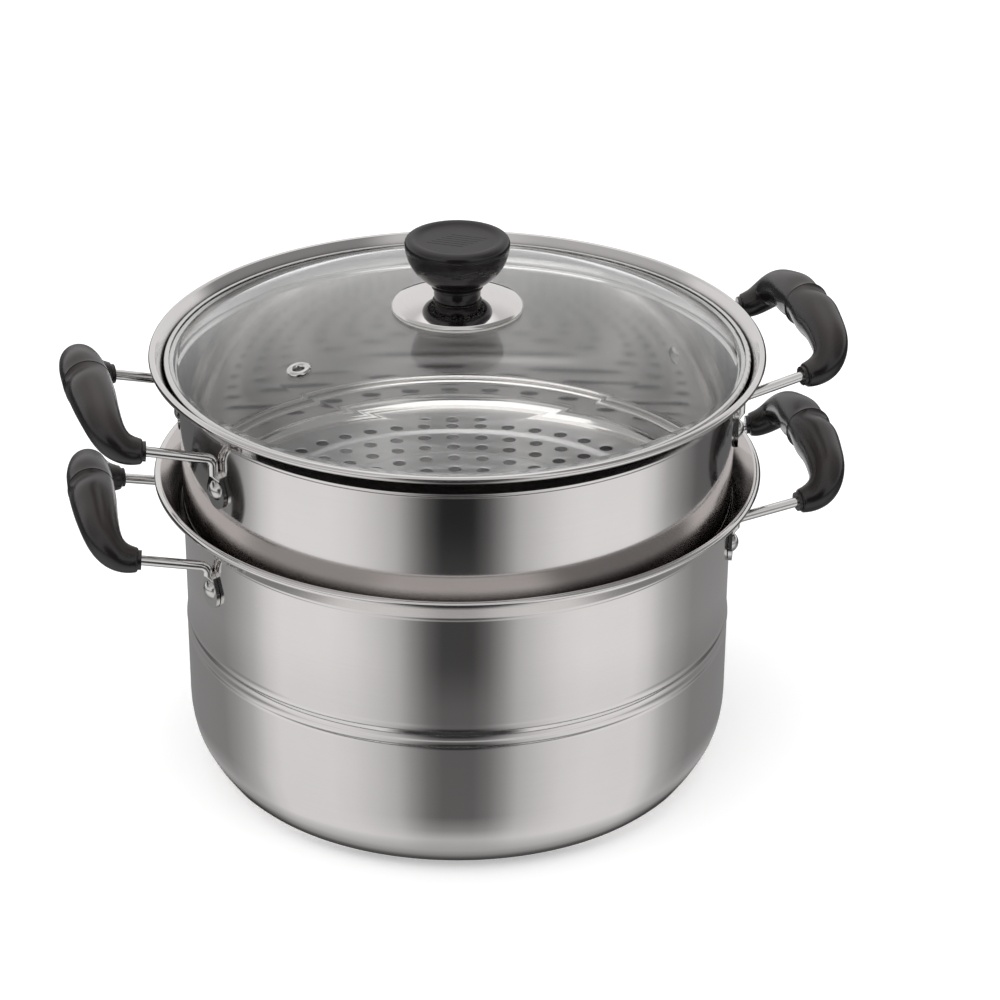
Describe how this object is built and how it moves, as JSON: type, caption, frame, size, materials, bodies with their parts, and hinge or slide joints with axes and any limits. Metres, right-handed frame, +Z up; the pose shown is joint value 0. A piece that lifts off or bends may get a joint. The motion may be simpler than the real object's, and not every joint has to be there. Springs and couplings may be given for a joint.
{
  "type": "steamer pot",
  "caption": "Two-tier stainless steel steamer pot: stock pot, perforated steamer insert with side handles and a domed glass lid with a steel band and a round knob.",
  "frame": {"origin": "middle of the pot's flat base, on the surface it stands on", "axes": "+Z up along the pot's axis, X along the line through the handles"},
  "size_m": [0.3802, 0.296, 0.2711],
  "materials": {
    "polished_steel": "mirror polished",
    "satin_steel": "satin",
    "band_steel": "polished",
    "rod_steel": "polished",
    "rivet_steel": "plain",
    "saucer_steel": "mirror polished",
    "lid_glass": "clear tempered",
    "phenolic": "gloss",
    "silicone": "matt translucent",
    "brass": "machined"
  },
  "bodies": {
    "pot": {"pot_shell": "polished_steel", "pot_rim": "polished_steel", "pot_grip_right": "phenolic", "pot_leg_right_front": "rod_steel", "pot_leg_right_back": "rod_steel", "pot_rivets_right": "rivet_steel", "pot_grip_left": "phenolic", "pot_leg_left_front": "rod_steel", "pot_leg_left_back": "rod_steel", "pot_rivets_left": "rivet_steel"},
    "steamer": {"steamer_shell": "polished_steel", "steamer_rim": "polished_steel", "steamer_floor": "satin_steel", "steamer_grip_right": "phenolic", "steamer_leg_right_front": "rod_steel", "steamer_leg_right_back": "rod_steel", "steamer_rivets_right": "rivet_steel", "steamer_grip_left": "phenolic", "steamer_leg_left_front": "rod_steel", "steamer_leg_left_back": "rod_steel", "steamer_rivets_left": "rivet_steel"},
    "lid": {"lid_glass": "lid_glass", "lid_band": "band_steel", "vent_eyelet": "band_steel", "knob": "phenolic", "knob_insert": "brass", "knob_saucer": "saucer_steel", "saucer_seal": "silicone", "inner_seal": "silicone", "knob_washer": "rivet_steel", "knob_screw": "rivet_steel"}
  },
  "joints": [
    {"name": "steamer_lift", "type": "slide", "parent": "pot", "child": "steamer", "axis": [0, 0, 1], "range_m": [0, 0.08]},
    {"name": "lid_lift", "type": "slide", "parent": "steamer", "child": "lid", "axis": [0, 0, 1], "range_m": [0, 0.06]}
  ]
}
